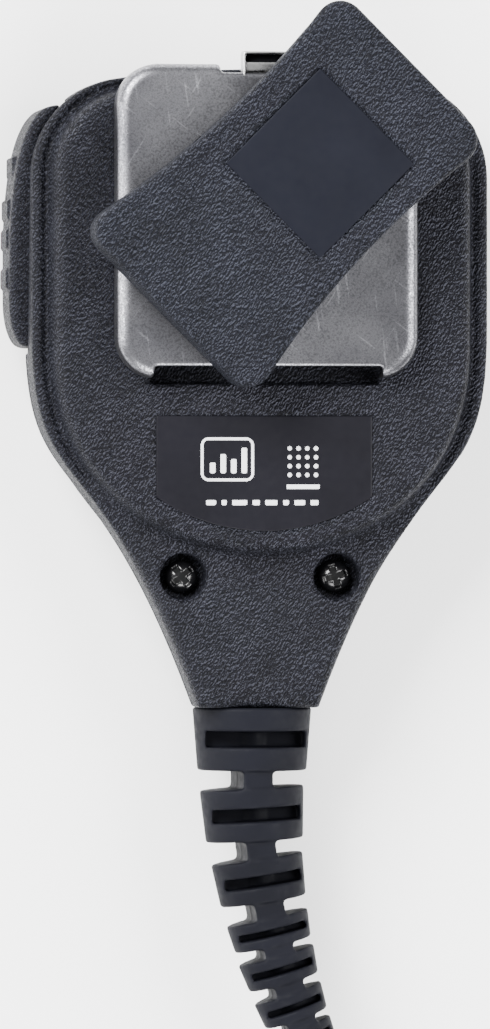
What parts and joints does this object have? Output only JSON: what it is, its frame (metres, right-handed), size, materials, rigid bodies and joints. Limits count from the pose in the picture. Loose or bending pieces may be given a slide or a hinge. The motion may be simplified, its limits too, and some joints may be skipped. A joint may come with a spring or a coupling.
{
  "type": "hand microphone",
  "caption": "Hand speaker microphone with a side talk button, a sprung swivelling back clip, a covered earphone socket, a ribbed strain relief and a folded curly cord with a two-pin plug.",
  "frame": {"origin": "on the clip's swivel axis, in the plane of the speaker face that it lies on", "axes": "+Z out of the back, +Y towards the top, away from the cord; the talk button is on the -X side"},
  "size_m": [0.0693, 0.3125, 0.0364],
  "materials": {
    "shell_plastic": "blue-black with an elongated pebble grain",
    "clip_plastic": "blue-black with the same grain, a little lighter",
    "smooth_plastic": "smooth satin",
    "label": null,
    "rubber_black": "satin",
    "button_rubber": "satin, moulded ribs",
    "plate_steel": "satin with fine scratches and bright rolled rims",
    "small_steel": "plain",
    "screw_black": "glossy black",
    "brass_pin": "polished",
    "board_green": "solder mask",
    "cone_paper": "treated paper",
    "cloth_black": "fine mesh",
    "washer_nylon": "natural nylon",
    "wire_colours": "insulated wires"
  },
  "bodies": {
    "housing": {"front_shell": "shell_plastic", "rear_cover": "shell_plastic", "shell_gasket": "rubber_black", "rear_screws": "screw_black", "label_plate": "label", "grille_cloth": "cloth_black", "speaker_frame": "small_steel", "speaker_cone": "cone_paper", "speaker_magnet": "small_steel", "mic_holder": "rubber_black", "mic_capsule": "small_steel", "circuit_board": "board_green", "board_chips": "smooth_plastic", "board_screws": "small_steel", "ptt_switch": "smooth_plastic", "ptt_seal": "rubber_black", "earphone_jack": "smooth_plastic", "clip_plate": "plate_steel", "latch_tongue": "small_steel", "swivel_washer": "washer_nylon", "strain_relief": "rubber_black", "cable_clamp": "small_steel", "inner_cable": "rubber_black", "inner_wires": "wire_colours", "cord_lead": "rubber_black", "cord_curl": "rubber_black", "cord_tie": "cloth_black", "cord_tail": "rubber_black", "plug_relief": "rubber_black", "plug_body": "smooth_plastic", "plug_pin_large": "brass_pin", "plug_pin_small": "brass_pin"},
    "talk_button": {"ptt_button": "button_rubber"},
    "socket_cover": {"jack_cover": "rubber_black"},
    "swivel": {"swivel_base": "small_steel", "swivel_rivet": "small_steel", "clip_pins": "small_steel", "clip_spring": "small_steel"},
    "clip": {"clip_arm": "clip_plastic", "clip_inlay": "smooth_plastic", "clip_pad": "rubber_black"}
  },
  "joints": [
    {"name": "talk_press", "type": "slide", "parent": "housing", "child": "talk_button", "axis": [1, 0, 0], "range_m": [0, 0.0012], "stiffness_N_per_m": 2500, "springref_m": -0.0006},
    {"name": "jack_cover_open", "type": "hinge", "parent": "housing", "child": "socket_cover", "pos_m": [0.02892, -0.03363, 0.0114], "axis": [0, 0, -1], "range_deg": [0, 100]},
    {"name": "clip_swivel", "type": "hinge", "parent": "housing", "child": "swivel", "pos_m": [0, 0, 0.029], "axis": [0, 0, 1], "continuous": true},
    {"name": "clip_jaw", "type": "hinge", "parent": "swivel", "child": "clip", "pos_m": [0, 0, 0.03195], "axis": [-0.7071, 0.7071, 0], "range_deg": [0, 9], "stiffness_Nm_per_rad": 0.8, "springref_deg": -17.19, "deforming": ["clip_spring"]}
  ]
}
